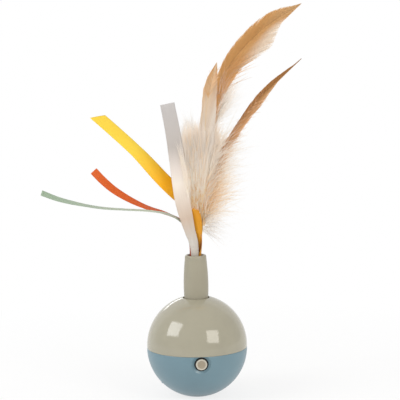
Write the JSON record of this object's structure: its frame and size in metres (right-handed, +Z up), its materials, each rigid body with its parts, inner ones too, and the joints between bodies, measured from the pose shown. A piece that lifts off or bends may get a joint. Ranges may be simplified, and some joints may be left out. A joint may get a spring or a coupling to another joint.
{
  "type": "spinning ball cat toy",
  "caption": "Weighted two-part ball with a push button and a motor-driven neck on top that spins a bunch of feathers and satin ribbons for a cat to chase.",
  "frame": {"origin": "middle of the flat foot under the ball, on the surface it stands on", "axes": "+Z up along the spin axis of the neck, -Y towards the push button, +X to the right as seen from the button side"},
  "size_m": [0.1588, 0.06, 0.232],
  "materials": {
    "upper_gloss": "glossy warm grey moulded plastic",
    "lower_satin": "satin dusty blue moulded plastic",
    "neck_grey": "satin warm grey moulded plastic",
    "button_beige": "satin beige plastic with a pale rim",
    "white_plastic": "plain natural white moulding",
    "gear_white": "acetal gear plastic",
    "black_plastic": "black moulded plastic",
    "board_green": "green solder mask",
    "ballast_iron": "plain cast weight",
    "screw_steel": "zinc-plated steel",
    "motor_steel": "nickel-plated steel",
    "cell_steel": "bright steel can",
    "brass": "plain brass",
    "wire_red": "soft wire insulation",
    "wire_black": "soft wire insulation",
    "glue": "set hot glue, cloudy",
    "feather_tan": "natural feather, tan fading to cream",
    "feather_brown": "natural feather, mid brown",
    "down_cream": "loose cream down",
    "ribbon_white": "white satin ribbon",
    "ribbon_yellow": "golden yellow satin ribbon",
    "ribbon_orange": "orange satin ribbon",
    "ribbon_green": "pale mint satin ribbon"
  },
  "bodies": {
    "ball": {"upper_shell": "upper_gloss", "lower_shell": "lower_satin", "ballast": "ballast_iron", "ballast_screw": "screw_steel", "chassis": "white_plastic", "gear_cover": "white_plastic", "lower_bush": "brass", "upper_bush": "brass", "idler_axle": "screw_steel", "motor_can": "motor_steel", "motor_endcap": "black_plastic", "switch_body": "black_plastic", "circuit_board": "board_green", "controller_chip": "black_plastic", "battery_spring": "screw_steel", "side_contact": "brass", "motor_wire_red": "wire_red", "motor_wire_black": "wire_black", "battery_wire_red": "wire_red", "battery_wire_black": "wire_black", "shell_screw_left": "screw_steel", "shell_screw_right": "screw_steel", "cover_screw_right": "screw_steel", "cover_screw_back": "screw_steel", "cover_screw_left": "screw_steel", "motor_screw_front": "screw_steel", "motor_screw_back": "screw_steel", "battery_cell_1": "cell_steel", "battery_cell_2": "cell_steel", "battery_cell_3": "cell_steel"},
    "head": {"output_gear": "gear_white", "neck": "neck_grey", "neck_screw": "screw_steel", "glue_plug": "glue", "feather_long": "feather_tan", "feather_short": "feather_tan", "feather_brown": "feather_brown", "down_plume": "down_cream", "ribbon_white": "ribbon_white", "ribbon_yellow": "ribbon_yellow", "ribbon_orange": "ribbon_orange", "ribbon_green": "ribbon_green"},
    "idler": {"idler_gear": "gear_white"},
    "rotor": {"motor_armature": "motor_steel", "motor_pinion": "brass"},
    "button": {"power_button": "button_beige", "switch_plunger": "white_plastic"},
    "battery_hatch": {"battery_door": "lower_satin", "door_contact": "brass", "door_screw": "screw_steel"}
  },
  "joints": [
    {"name": "neck_spin", "type": "hinge", "parent": "ball", "child": "head", "pos_m": [0, 0, 0.06], "axis": [0, 0, 1], "continuous": true},
    {"name": "idler_spin", "type": "hinge", "parent": "ball", "child": "idler", "pos_m": [0.0077, -0.00985, 0.033], "axis": [0, 0, 1], "continuous": true},
    {"name": "motor_spin", "type": "hinge", "parent": "ball", "child": "rotor", "pos_m": [-0.0038, -0.00985, 0.032], "axis": [0, 0, 1], "continuous": true},
    {"name": "button_press", "type": "slide", "parent": "ball", "child": "button", "axis": [0, 1, 0], "range_m": [0, 0.001], "stiffness_N_per_m": 600},
    {"name": "hatch_removal", "type": "slide", "parent": "ball", "child": "battery_hatch", "axis": [0, 1, 0], "range_m": [0, 0.02]}
  ],
  "couplings": [
    {"joint": "idler_spin", "follows": "neck_spin", "ratio": -4},
    {"joint": "motor_spin", "follows": "neck_spin", "ratio": 14.4}
  ]
}
